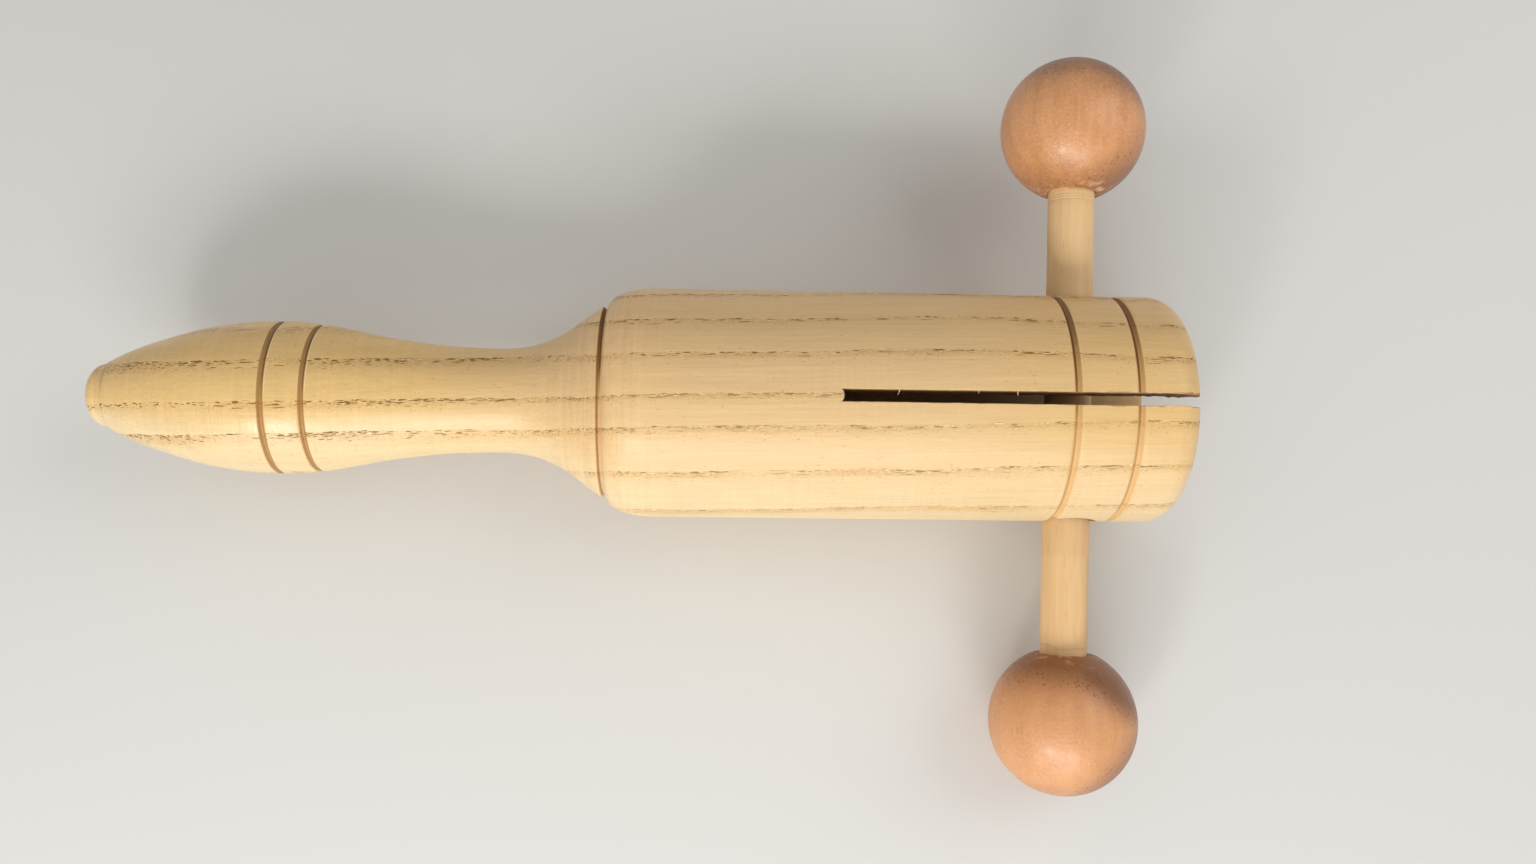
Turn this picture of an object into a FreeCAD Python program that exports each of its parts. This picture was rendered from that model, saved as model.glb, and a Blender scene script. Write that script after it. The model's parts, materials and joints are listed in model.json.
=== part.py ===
import FreeCAD, Part
import math
import os

# A wooden tone block of four pieces, in millimetres.
# The turned body is one blank: a handle, and a hollow head with a saw cut down both of its walls.
# A rod lies loosely across the head and carries a glued ball on each end, so the beater slides
# to and fro and its balls strike the head in turn.
# The origin is on the body's axis, where the head's shoulder reaches its full diameter.
# +X runs from the handle to the open mouth and +Z is up. The head lies on the table, which is
# one head radius below the origin, and the resting ball touches the table too.

# Head
head_radius = 19.5
head_length = 88.9
shoulder_length = 7.9
shoulder_drop = 3.05
mouth_round_length = 5.2
mouth_round_depth = 5.6

# Chamber and saw cut
chamber_radius = 13.3
chamber_depth = 65.0
chamber_mouth_chamfer = 0.5
chamber_floor_round = 1.5
slot_length = 58.6
slot_width = 2.0

# Handle, from the head to the nose
neck_groove_width = 1.0
neck_groove_depth = 0.8
neck_groove_wall_share = 0.25
lip_radius = 16.3
flare_length = 20.6
waist_radius = 8.93
grip_length = 31.3
belly_radius = 12.88
taper_length = 31.2
nose_radius = 5.3
nose_length = 3.0

# The outline from nose to belly, belly to waist and waist to lip, as shares of the way along each
# stretch and of its change of radius
taper_shares = [(0.151, 0.319), (0.338, 0.594), (0.524, 0.812), (0.71, 0.944)]
grip_shares = [(0.27, 0.265), (0.46, 0.57), (0.65, 0.79), (0.83, 0.945)]
flare_shares = [(0.31, 0.015), (0.5, 0.135), (0.69, 0.385), (0.88, 0.77)]

# Ornamental grooves
head_groove_width = 1.6
head_groove_depth = 0.7
first_groove_to_mouth = 21.15
second_groove_to_mouth = 11.0
handle_groove_width = 1.2
handle_groove_depth = 0.6
groove_before_belly = 4.63
groove_behind_belly = 1.67
groove_floor_share = 0.4

# Beater
rod_radius = 4.0
rod_to_mouth = 17.6
rod_lean_degrees = 1.3
rod_end_chamfer = 0.5
ball_radius = 12.5
ball_facet_radius = 5.2
socket_depth = 12.0
raised_reach = 49.25
resting_reach = 53.5

# Clearances, and one overrun for every cut
rod_hole_gap = 0.15
glue_gap = 0.05
overrun = 1.0

# The rod lies slanted in its holes, which are wide enough for that and a little more
lean = math.radians(rod_lean_degrees)
rod_hole_radius = rod_radius / math.cos(lean) + head_radius * math.tan(lean) + rod_hole_gap

# The body has rolled until the ball on the longer side rests on the table
roll = math.asin((head_radius - ball_radius) / (resting_reach * math.cos(lean)))

# Places along the body's axis
shoulder_start = -shoulder_length
lip_x = shoulder_start - neck_groove_width
waist_x = lip_x - flare_length
belly_x = waist_x - grip_length
nose_side_x = belly_x - taper_length
nose_tip_x = nose_side_x - nose_length
chamber_floor_x = head_length - chamber_depth
rod_x = head_length - rod_to_mouth

AXIS_X = FreeCAD.Vector(1, 0, 0)
AXIS_Y = FreeCAD.Vector(0, 1, 0)
AXIS_Z = FreeCAD.Vector(0, 0, 1)
ORIGIN = FreeCAD.Vector(0, 0, 0)


def point(x, y):
    return FreeCAD.Vector(x, y, 0)


def line(start, end):
    return Part.LineSegment(start, end).toShape()


def quarter(start, corner, end):
    """A quarter of an ellipse that leaves start towards the corner and arrives at end from it."""
    curve = Part.BezierCurve()
    curve.setPoles([start, corner, end])
    curve.setWeight(2, math.cos(math.pi / 4))
    return curve.toShape()


def between(start, end, shares):
    """The points that lie at the given shares of the way from start to end."""
    step = end - start
    return [point(start.x + along * step.x, start.y + across * step.y) for along, across in shares]


def handle_outline():
    """One smooth curve from the side of the nose through belly and waist to the flare's lip."""
    nose_side = point(nose_side_x, nose_radius)
    belly = point(belly_x, belly_radius)
    waist = point(waist_x, waist_radius)
    lip = point(lip_x, lip_radius)
    points = [nose_side] + between(nose_side, belly, taper_shares)
    points += [belly] + between(belly, waist, grip_shares)
    points += [waist] + between(waist, lip, flare_shares) + [lip]
    curve = Part.BSplineCurve()
    curve.interpolate(points)
    return curve.toShape()


def groove_cutter(x, surface_radius, width, depth):
    """A ring that cuts a V groove with a rounded floor into a turned surface."""
    floor = surface_radius - depth
    top_share = (depth + overrun) / depth
    side = width / 2
    left_top = point(x - side * top_share, surface_radius + overrun)
    right_top = point(x + side * top_share, surface_radius + overrun)
    left_low = point(x - side * groove_floor_share, floor + depth * groove_floor_share)
    right_low = point(x + side * groove_floor_share, floor + depth * groove_floor_share)
    rounding = Part.BezierCurve()
    rounding.setPoles([left_low, point(x, floor), right_low])
    edges = [
        line(left_top, left_low),
        rounding.toShape(),
        line(right_low, right_top),
        line(right_top, left_top),
    ]
    return Part.Face(Part.Wire(edges)).revolve(ORIGIN, AXIS_X, 360)


def turned_blank(handle):
    """The solid that comes off the lathe, before it is bored and sawn."""
    tip = point(nose_tip_x, 0)
    nose_side = point(nose_side_x, nose_radius)
    lip = point(lip_x, lip_radius)
    groove_floor_x = lip_x + neck_groove_width * neck_groove_wall_share
    groove_floor = point(groove_floor_x, lip_radius - neck_groove_depth)
    shoulder_foot = point(shoulder_start, head_radius - shoulder_drop)
    shoulder_top = point(0, head_radius)
    round_start = point(head_length - mouth_round_length, head_radius)
    round_end = point(head_length, head_radius - mouth_round_depth)
    mouth_centre = point(head_length, 0)
    edges = [
        quarter(tip, point(nose_tip_x, nose_radius), nose_side),
        handle,
        line(lip, groove_floor),
        line(groove_floor, shoulder_foot),
        quarter(shoulder_foot, point(shoulder_start, head_radius), shoulder_top),
        line(shoulder_top, round_start),
        quarter(round_start, point(head_length, head_radius), round_end),
        line(round_end, mouth_centre),
        line(mouth_centre, tip),
    ]
    return Part.Face(Part.Wire(edges)).revolve(ORIGIN, AXIS_X, 360)


def chamber_cutter():
    """The bored chamber, with a rounded edge round its floor and a chamfer at its mouth."""
    floor_centre = point(chamber_floor_x, 0)
    floor_edge = point(chamber_floor_x, chamber_radius - chamber_floor_round)
    wall_start = point(chamber_floor_x + chamber_floor_round, chamber_radius)
    chamfer_start = point(head_length - chamber_mouth_chamfer, chamber_radius)
    chamfer_reach = chamber_mouth_chamfer + overrun
    chamfer_end = point(head_length + overrun, chamber_radius + chamfer_reach)
    end_centre = point(head_length + overrun, 0)
    edges = [
        line(floor_centre, floor_edge),
        quarter(floor_edge, point(chamber_floor_x, chamber_radius), wall_start),
        line(wall_start, chamfer_start),
        line(chamfer_start, chamfer_end),
        line(chamfer_end, end_centre),
        line(end_centre, floor_centre),
    ]
    return Part.Face(Part.Wire(edges)).revolve(ORIGIN, AXIS_X, 360)


def surface_radius_at(handle, x):
    """The handle's radius at a place along the axis."""
    probe = line(point(x, 0), point(x, head_radius))
    return handle.distToShape(probe)[1][0][0].y


def turned_body():
    handle = handle_outline()
    body = turned_blank(handle).cut(chamber_cutter())
    for to_mouth in (first_groove_to_mouth, second_groove_to_mouth):
        groove_x = head_length - to_mouth
        body = body.cut(groove_cutter(groove_x, head_radius, head_groove_width, head_groove_depth))
    for groove_x in (belly_x + groove_before_belly, belly_x - groove_behind_belly):
        surface = surface_radius_at(handle, groove_x)
        body = body.cut(groove_cutter(groove_x, surface, handle_groove_width, handle_groove_depth))

    # The saw cut runs through both walls, square to the rod's holes
    reach = head_radius + overrun
    corner = FreeCAD.Vector(head_length - slot_length, -slot_width / 2, -reach)
    saw_cut = Part.makeBox(slot_length + overrun, slot_width, 2 * reach, corner)
    hole_start = FreeCAD.Vector(rod_x, -reach, 0)
    rod_holes = Part.makeCylinder(rod_hole_radius, 2 * reach, hole_start, AXIS_Y)
    for cutter in (saw_cut, rod_holes):
        cutter.rotate(ORIGIN, AXIS_X, math.degrees(roll))
        body = body.cut(cutter)
    return body


# The distance from a ball's centre to the facet round its socket, and on to the socket's floor
facet_distance = math.sqrt(ball_radius**2 - ball_facet_radius**2)
socket_floor_past_centre = socket_depth - facet_distance


def beater_rod():
    """The rod along +Y, with chamfered ends that seat on the floors of the two sockets."""
    start = -resting_reach - socket_floor_past_centre
    end = raised_reach + socket_floor_past_centre
    end_radius = rod_radius - rod_end_chamfer
    corners = [
        point(0, start),
        point(end_radius, start),
        point(rod_radius, start + rod_end_chamfer),
        point(rod_radius, end - rod_end_chamfer),
        point(end_radius, end),
        point(0, end),
    ]
    section = Part.Face(Part.makePolygon(corners + [corners[0]]))
    return section.revolve(ORIGIN, AXIS_Y, 360)


def beater_ball():
    """A ball about the origin, whose facet and blind socket face along -Y."""
    socket_radius = rod_radius + glue_gap
    facet_edge = point(ball_facet_radius, -facet_distance)
    pole = point(0, ball_radius)
    side = point(ball_radius, 0)
    floor_edge = point(socket_radius, socket_floor_past_centre)
    floor_centre = point(0, socket_floor_past_centre)
    mouth_edge = point(socket_radius, -facet_distance)
    edges = [
        Part.Arc(facet_edge, side, pole).toShape(),
        line(pole, floor_centre),
        line(floor_centre, floor_edge),
        line(floor_edge, mouth_edge),
        line(mouth_edge, facet_edge),
    ]
    return Part.Face(Part.Wire(edges)).revolve(ORIGIN, AXIS_Y, 360)


def place_on_beater(shape, along, turn=0):
    """Moves a piece along the rod's line, turned about +Z first, and slants it as the rod lies."""
    shape.rotate(ORIGIN, AXIS_Z, turn)
    shape.translate(FreeCAD.Vector(0, along, 0))
    shape.rotate(ORIGIN, AXIS_Z, -rod_lean_degrees)
    shape.rotate(ORIGIN, AXIS_X, math.degrees(roll))
    shape.translate(FreeCAD.Vector(rod_x, 0, 0))
    return shape


pieces = {
    "turned_body": turned_body(),
    "beater_rod": place_on_beater(beater_rod(), 0),
    "beater_ball_raised": place_on_beater(beater_ball(), raised_reach),
    "beater_ball_resting": place_on_beater(beater_ball(), -resting_reach, turn=180),
}

os.makedirs("parts", exist_ok=True)
for name, shape in pieces.items():
    solid = shape.Solids[0]
    solid.exportStep(f"parts/{name}.step")
    box = solid.BoundBox
    print(f"{name}: valid {solid.isValid()}, {len(shape.Solids)} solid, {solid.Volume:.1f} mm3")
    print(f"  x {box.XMin:.2f} to {box.XMax:.2f}, y {box.YMin:.2f} to {box.YMax:.2f}, "
          f"z {box.ZMin:.2f} to {box.ZMax:.2f}")

# The beater stops where a ball's facet meets the head
facet_dip = ball_facet_radius * math.sin(lean)
stop_distance = head_radius + facet_distance + facet_dip
print(f"slide until the balls touch: {stop_distance - raised_reach:.2f} to "
      f"{resting_reach - stop_distance:.2f} mm, along "
      f"({math.sin(lean):.5f}, {math.cos(lean) * math.cos(roll):.5f}, "
      f"{math.cos(lean) * math.sin(roll):.5f}), roll {math.degrees(roll):.3f} degrees")
print(f"rod hole radius {rod_hole_radius:.3f} mm, rod axis at x {rod_x:.2f}")
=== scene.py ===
import json
import math

import bmesh
import bpy
import numpy as np
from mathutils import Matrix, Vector, noise


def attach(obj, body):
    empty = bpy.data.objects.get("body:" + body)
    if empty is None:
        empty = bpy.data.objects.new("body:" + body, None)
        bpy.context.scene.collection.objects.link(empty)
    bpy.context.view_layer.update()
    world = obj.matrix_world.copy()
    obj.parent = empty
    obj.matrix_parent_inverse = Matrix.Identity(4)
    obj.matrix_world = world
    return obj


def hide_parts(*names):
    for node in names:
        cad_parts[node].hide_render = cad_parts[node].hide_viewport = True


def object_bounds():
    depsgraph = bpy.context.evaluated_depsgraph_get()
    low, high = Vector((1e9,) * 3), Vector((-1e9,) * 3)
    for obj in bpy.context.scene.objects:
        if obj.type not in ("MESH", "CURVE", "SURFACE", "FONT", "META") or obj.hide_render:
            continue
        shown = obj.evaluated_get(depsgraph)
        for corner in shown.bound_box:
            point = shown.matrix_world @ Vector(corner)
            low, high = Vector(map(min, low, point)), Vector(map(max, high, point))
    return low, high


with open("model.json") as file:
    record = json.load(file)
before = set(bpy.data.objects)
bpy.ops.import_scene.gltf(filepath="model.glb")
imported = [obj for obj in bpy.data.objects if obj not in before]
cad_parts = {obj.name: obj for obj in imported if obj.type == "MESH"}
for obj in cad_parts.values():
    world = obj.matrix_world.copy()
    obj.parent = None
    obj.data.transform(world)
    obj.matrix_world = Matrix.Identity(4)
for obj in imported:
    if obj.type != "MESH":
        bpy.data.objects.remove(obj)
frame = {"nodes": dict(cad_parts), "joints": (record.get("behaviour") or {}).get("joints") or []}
cad_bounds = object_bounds()

# Lengths here are millimetres in the part's own frame, unless a name says otherwise.
MM = 0.001

# Camera, as it stood over the table
camera_place = (10.49, -47.03, 211.25)
camera_turn = (0.1968, -0.0424, 0.0052)
camera_lens_px = 1258.1
camera_nearest = 10.0
photo_width_px = 1536.0
sensor_width = 36.0

# Light: a broad lamp and a small one on the resting ball's side make the highlights, a cool one stands
# lower, one stands behind, and the fill is even. Name, place, size, watts and tint of each lamp
lamps = (
    ("key", (-15.0, -475.0, 302.0), (430.0, 130.0), 1.36, (1.0, 0.99, 0.97)),
    ("glint", (-202.0, -431.0, 297.0), (100.0, 100.0), 0.58, (1.0, 0.98, 0.95)),
    ("low", (-60.0, -600.0, 150.0), (700.0, 200.0), 1.05, (0.82, 0.92, 1.0)),
    ("rear", (430.0, 140.0, 420.0), (400.0, 400.0), 0.74, (1.0, 0.98, 0.95)),
)
fill_strength = 0.5
fill_tint = (1.0, 0.99, 0.97, 1.0)
floor_colour = (220, 219, 216)
floor_roughness = 0.75
floor_reach = 3000.0

# Turned body: how finely its skin is laid out, and how its corners are worn
skin_columns = 216
skin_step = 0.95
outline_tolerance = 0.004
corner_turn_degrees = 20.0
corner_softening = 0.14
sharp_from_degrees = 34.0
inside_box = 0.004
clear_of_part = 1.0
same_place = 0.01

# Grooves as its outline shows them: how wide and how deep a dip is that counts as one
groove_reach = 1.3
groove_search_step = 0.02
groove_edge_depth = 0.03
groove_least_depth = 0.25
# How far past the nose ridge the painted shade line lies
ridge_shade_offset = 1.4

# Saw cut: how its edges are worn and chipped, how its walls are torn, and how its end is left. A waver
# is how far an edge strays, and how often in a millimetre; a spread sets the noise of two seeds apart
kerf_step = 0.4
arris_wear = 0.12
arris_waver = (0.05, 0.8)
arris_chip = 0.9
arris_chip_pace = 0.55
arris_chip_from = 0.3
torn_from = 77.0
torn_over = 3.0
torn_least = 0.15
torn_reach = 0.7
torn_waver = (torn_reach, 0.9)
torn_fine_waver = (0.4 * torn_reach, 2.3)
kerf_waver = (0.03, 0.4)
arris_seed, torn_seed, torn_fine_seed, kerf_seed = 5, 25, 32, 9
seed_spread = (7.3, 3.1)
arris_chip_spread, arris_chip_level = 4.7, 1.3
slot_end_bulge = 0.22
slot_end_curve = 1.6
slot_end_wear = (1.3, 0.3, 0.17, 0.06, 0.0)

# Fibres that hang into the saw cut: place along the head, length, lean along it, thickness
slivers = ((39.2, 0.85, -0.35, 0.16), (51.7, 0.5, 0.05, 0.11), (57.9, 0.7, 0.12, 0.2))
sliver_sections = 7
sliver_sides = 6
sliver_root_depth = 0.15
sliver_below_surface = 0.12
sliver_past_wall = 0.2
sliver_lean_power = 1.5
sliver_rise = 0.1
sliver_droop = 0.35
sliver_taper = 0.85
sliver_widths = (1.3, 0.8)

# Rod holes
hole_columns = 96
rim_wear_share = 0.3
rim_flare_share = 0.4

# Balls: node, name of the material, how pebbled its lacquer is, seed of the chips, and how strongly it is
# darkened by end-grain stain and painted shade towards the socket and away from it, and by painted shade
# towards the head's mouth
balls = (
    ("beater_ball_raised", "bead_pebbled", 0.6, 1, (0.98, 1.4, 0.7)),
    ("beater_ball_resting", "bead_smooth", 0.25, 2, (1.5, 0.92, 0.95)),
)
ball_columns = 160
ball_step = 0.5
socket_rim_wear = 0.4
chip_band_degrees = (23.0, 41.0)
chip_depth = 0.22
chip_pace = 0.55
chip_seed_step = 13.7
chip_fine_pace = 2.7
chip_from = 0.25
chip_contrast = 2.2
on_sphere_share = 0.9

# Rod: turned rings, how far from its raised end, half how wide and how deep; then where the stain, the
# painted light and the painted shade fall on it
rod_columns = 64
rod_step = 1.0
ring_marks = (13.6, 13.15, 12.75)
ring_mark_half = 0.16
ring_mark_depth = 0.05
stain_reach = 1.9
below_head_reach = (17.5, 16.0)
shaded_side_from_axis = (2.1, 3.9)
head_shadow_reach = (22.0, 29.0)

# Growth rings of the body: the tree's middle lies to the raised side, above the body
pith_place = (150.0, 43.0)
ring_zero = 152.97
grain_slope = 0.028
mouth_spread = 1.9
growth_lines = (22.5, 15.4, 10.6, 4.95, -1.75, -7.0, -13.9, -20.3, -26.5)
ring_width = 6.1
ring_waves = ((0.7, 0.05), (0.35, 0.2), (0.22, 0.8), (0.12, 2.6))


def even(share):
    """The same share along each axis."""
    return (share,) * 3


across_axis = (0.0, 1.0, 1.0)

# Soft noise in each wood: features to the millimetre along each axis, then detail and roughness
ash_noise = {
    "patches": ((0.17, 0.4, 0.4), 3.0),
    "strength": ((0.05, 0.12, 0.12), 1.0),
    "fibre": ((0.08, 2.6, 2.6), 4.0, 0.65),
    "streak": ((0.03, 0.55, 0.55), 2.0),
    "drift": ((0.02, 0.06, 0.06), 1.0),
    "turning": ((1.5, 0.04, 0.04), 3.0, 0.7),
    "cutting": ((2.2, 0.3, 0.3), 3.0, 0.7),
    "gloss": ((0.5, 1.1, 1.1), 3.0),
    "uneven": ((0.6, 1.2, 1.2), 2.0),
}
dowel_noise = {
    "fibre": (even(3.4), 4.0, 0.6),
    "streak": (even(0.9), 2.0),
    "gloss": (even(1.0), 3.0),
}
bead_noise = {
    "fibre": (even(2.2), 4.0, 0.62),
    "bands": (even(0.36), 3.0, 0.6),
    "mottle": (even(0.28), 3.0, 0.6),
    "pebbles": (even(1.8), 3.0, 0.65),
    "patchy": (even(0.12), 2.0),
    "gloss": (even(0.8), 3.0),
    "uneven": (even(0.9), 2.0),
}

# Spots in each wood: features to the millimetre along each axis, then a spot's least and greatest reach
ash_spots = {
    "pits": ((0.75, 3.9, 3.9), 0.32, 0.84),
    "dashes": ((0.3, 4.2, 4.2), 0.24, 0.6),
    "specks": ((1.5, 4.8, 4.8), 0.22, 0.52),
    "pale": ((1.4, 4.2, 4.2), 0.22, 0.56),
}
dowel_spots = {"pores": (even(4.5), 0.18, 0.4)}
bead_spots = {
    "flecks": (even(2.3), 0.2, 0.5),
    "lights": (even(2.1), 0.2, 0.5),
    "grime": (even(1.7), 0.3, 0.6),
}
spot_edge = 0.45

# Colours as a screen shows them, 0 to 255 a channel
ash_tones = {
    "rings": (229, 192, 137),
    "other_rings": (226, 190, 138),
    "neck": (229, 186, 132),
    "handle": (229, 190, 122),
    "mouth": (230, 188, 118),
    # side: a painted sheen on the flanks that face the lamps
    "side": (228, 203, 158),
    "early": (217, 174, 108),
    "band": (198, 154, 92),
    "pale": (250, 222, 160),
    "pit_highlights": (252, 226, 168),
    "specks": (176, 126, 52),
    "dashes": (142, 94, 6),
    "pits": (144, 96, 0),
    "lip": (250, 224, 176),
    "ridge": (176, 130, 72),
    "bare": (216, 178, 126),
    "bare_fibre": (242, 212, 168),
    "cut_face_shade": (150, 104, 56),
}
dowel_tones = {
    "streak": (236, 198, 146),
    "other_streak": (229, 189, 135),
    "pores": (176, 130, 82),
    "stain": (190, 150, 122),
    "stain_edge": (150, 108, 76),
    "shaded_side": (176, 154, 124),
    "head_shadow": (192, 152, 104),
}
bead_tones = {
    "band": (221, 160, 107),
    "other_band": (201, 140, 90),
    "mottle": (220, 155, 111),
    "flecks": (166, 104, 60),
    "lights": (244, 190, 138),
    "end_grain_and_shade": (140, 90, 54),
    "grime": (112, 66, 38),
    "bare": (232, 194, 154),
}

# Grooves, burnished brown, with painted shade darkest high on the raised side and along one wall: colours
# low, in the middle, high and along the darkest wall, how much of them shows on the low side, which wall
# is darkest on the raised side, how dark that wall is low and high, between which heights these change,
# and how strong the painted highlight on the lip beside the groove is
groove_burns_and_shade = {
    "handle_grooves": {
        "colours": ((176, 127, 60), (168, 124, 62), (126, 89, 38), (106, 71, 28)),
        "climb": (-5.0, 4.0), "least": 0.85, "dark_side": 1, "line": (0.25, 0.75), "lip": 0.6,
    },
    "neck_groove": {
        "colours": ((222, 178, 120), (184, 142, 88), (150, 108, 66), (104, 62, 28)),
        "climb": (-5.0, 4.0), "least": 0.15, "dark_side": 1, "line": (0.5, 0.8), "lip": 0.0,
    },
    "head_grooves": {
        "colours": ((222, 174, 110), (188, 142, 74), (132, 90, 38), (90, 51, 13)),
        "climb": (-12.0, 6.0), "least": 0.8, "dark_side": -1, "line": (0.3, 0.95), "lip": 0.25,
    },
}


def colour(red, green, blue):
    """A colour as a screen shows it, 0 to 255 a channel, in the linear values that shaders take."""
    linear = []
    for value in (red, green, blue):
        share = value / 255
        linear.append(share / 12.92 if share <= 0.04045 else ((share + 0.055) / 1.055) ** 2.4)
    return (*linear, 1.0)


class Shader:
    """One node material, with short calls that add a node and join its inputs."""

    def __init__(self, name, tones):
        self.material = bpy.data.materials.new(name)
        self.material.use_nodes = True
        self.tree = self.material.node_tree
        self.tree.nodes.clear()
        self.tones = {tone: colour(*shown) for tone, shown in tones.items()}
        self.surface = self.add("ShaderNodeBsdfPrincipled")
        output = self.add("ShaderNodeOutputMaterial")
        self.tree.links.new(self.surface.outputs["BSDF"], output.inputs["Surface"])

    def add(self, kind, inputs=None, **settings):
        node = self.tree.nodes.new(kind)
        for key, value in settings.items():
            setattr(node, key, value)
        for key, value in (inputs or {}).items():
            self.put(node.inputs[key], value)
        return node

    def put(self, socket, value):
        if isinstance(value, bpy.types.NodeSocket):
            self.tree.links.new(value, socket)
        else:
            socket.default_value = value

    def set(self, **sockets):
        """Sets or joins inputs of the surface shader, named with _ for a space."""
        for key, value in sockets.items():
            self.put(self.surface.inputs[key.replace("_", " ")], value)

    def place(self):
        """The place on the piece, in millimetres."""
        return self.stretch(self.add("ShaderNodeTexCoord").outputs["Object"], even(1 / MM))

    def math(self, operation, a, b=0.0, clamp=False):
        return self.add("ShaderNodeMath", {0: a, 1: b}, operation=operation, use_clamp=clamp).outputs[0]

    def times(self, a, b):
        return self.math("MULTIPLY", a, b)

    def plus(self, a, b):
        return self.math("ADD", a, b)

    def minus(self, a, b, clamp=False):
        return self.math("SUBTRACT", a, b, clamp)

    def vector(self, operation, a, b=(0.0, 0.0, 0.0)):
        node = self.add("ShaderNodeVectorMath", {0: a, 1: b}, operation=operation)
        return node.outputs["Value" if operation in ("LENGTH", "DOT_PRODUCT") else "Vector"]

    def scaled(self, direction, length):
        node = self.add("ShaderNodeVectorMath", {0: direction, "Scale": length}, operation="SCALE")
        return node.outputs[0]

    def stretch(self, place, shares):
        return self.vector("MULTIPLY", place, shares)

    def split(self, place):
        return self.add("ShaderNodeSeparateXYZ", {0: place}).outputs[:]

    def join(self, x, y, z):
        return self.add("ShaderNodeCombineXYZ", {0: x, 1: y, 2: z}).outputs[0]

    def cloud(self, place, detail=2.0, roughness=0.5):
        """Soft noise from 0 to 1, one feature for each unit of place."""
        inputs = {"Vector": place, "Scale": 1.0, "Detail": detail, "Roughness": roughness}
        return self.add("ShaderNodeTexNoise", inputs).outputs[0]

    def grain(self, place, shares, *kind):
        """Soft noise from 0 to 1, with shares features to the millimetre along each axis."""
        return self.cloud(self.stretch(place, shares), *kind)

    def swing(self, place, shares, reach):
        """Soft noise from minus reach to plus reach."""
        return self.times(self.plus(self.grain(place, shares, 1.0), -0.5), 2.0 * reach)

    def step(self, value, start, end, low=0.0, high=1.0):
        """Goes smoothly from low to high while value goes from start to end."""
        inputs = {0: value, 1: start, 2: end, 3: low, 4: high}
        return self.add("ShaderNodeMapRange", inputs, interpolation_type="SMOOTHSTEP").outputs[0]

    def fade(self, value, start, end, high=1.0):
        """Goes smoothly from high to 0 while value goes from start to end."""
        return self.step(value, start, end, high, 0.0)

    def near(self, value, centre, start, end, high=1.0):
        """Fades from high to 0 while value goes from start to end away from centre."""
        return self.fade(self.math("ABSOLUTE", self.plus(value, -centre)), start, end, high)

    def mix(self, share, a, b, blend="MIX"):
        node = self.add("ShaderNodeMix", data_type="RGBA", blend_type=blend)
        for index, value in ((0, share), (6, a), (7, b)):
            self.put(node.inputs[index], value)
        return node.outputs[2]

    def paint(self, base, tone, share):
        """base with the material's tone of that name over it, as strong as share."""
        return self.mix(share, base, self.tones[tone])

    def shade(self, base, amount):
        """base made brighter or darker by amount, a share near 1."""
        grey = self.join(amount, amount, amount)
        return self.mix(1.0, base, grey, "MULTIPLY")

    def vary(self, base, pattern, reach, least):
        """base as bright as least where pattern is 0, and brighter by reach where it is 1."""
        return self.shade(base, self.plus(self.times(pattern, reach), least))

    def spots(self, place, density, shares, small, large):
        """Spots about scattered points, with shares of them to the millimetre along each axis. density
        is the share of points that have one, small and large its least and greatest reach."""
        cells = self.add("ShaderNodeTexVoronoi", {"Vector": self.stretch(place, shares), "Scale": 1.0})
        chances = self.add("ShaderNodeSeparateColor", {0: cells.outputs["Color"]}).outputs
        choice, size = chances[0], chances[1]
        reach = self.plus(self.times(size, large - small), small)
        inward = self.minus(1.0, self.math("DIVIDE", cells.outputs["Distance"], reach), clamp=True)
        return self.times(self.step(inward, 0.0, spot_edge), self.math("LESS_THAN", choice, density))

    def bump(self, height):
        """A bump of height, in millimetres."""
        return self.add("ShaderNodeBump", {"Strength": 1.0, "Distance": MM, "Height": height}).outputs[0]


def node_points(name):
    """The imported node's vertices, in millimetres."""
    mesh = frame["nodes"][name].data
    points = np.empty(len(mesh.vertices) * 3)
    mesh.vertices.foreach_get("co", points)
    return points.reshape(-1, 3) / MM


def without_small_steps(points, tolerance):
    """The fewest of points, (place, radius) pairs in order, that stay within tolerance of them all."""
    first, last = points[0], points[-1]
    if len(points) < 3:
        return list(points)
    along = last - first
    away = points[1:-1] - first
    offsets = np.abs(along[0] * away[:, 1] - along[1] * away[:, 0]) / np.hypot(*along)
    worst = int(offsets.argmax()) + 1
    if offsets[worst - 1] <= tolerance:
        return [first, last]
    before = without_small_steps(points[: worst + 1], tolerance)
    after = without_small_steps(points[worst:], tolerance)
    return before[:-1] + after


def turn_at(before, here, after):
    """The angle by which an outline turns at here."""
    arriving, leaving = here - before, after - here
    cross = arriving[0] * leaving[1] - arriving[1] * leaving[0]
    return abs(math.atan2(cross, arriving @ leaving))


def softened(outline, reach):
    """The outline with its corners worn round, from reach before each to reach after it."""
    points = [outline[0]]
    for before, here, after in zip(outline, outline[1:], outline[2:]):
        if turn_at(before, here, after) < math.radians(corner_turn_degrees):
            points.append(here)
            continue
        back, on = before - here, after - here
        entry = here + back / np.hypot(*back) * min(reach, np.hypot(*back) / 3)
        leave = here + on / np.hypot(*on) * min(reach, np.hypot(*on) / 3)
        points += [entry, (entry + leave + 2 * here) / 4, leave]
    points.append(outline[-1])
    return np.array(points)


def evenly_stepped(outline, step):
    """The outline with its long straight stretches divided into even steps."""
    points = [outline[0]]
    for start, end in zip(outline, outline[1:]):
        count = max(1, math.ceil(np.hypot(*(end - start)) / step))
        points += [start + (end - start) * i / count for i in range(1, count + 1)]
    return np.array(points)


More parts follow.
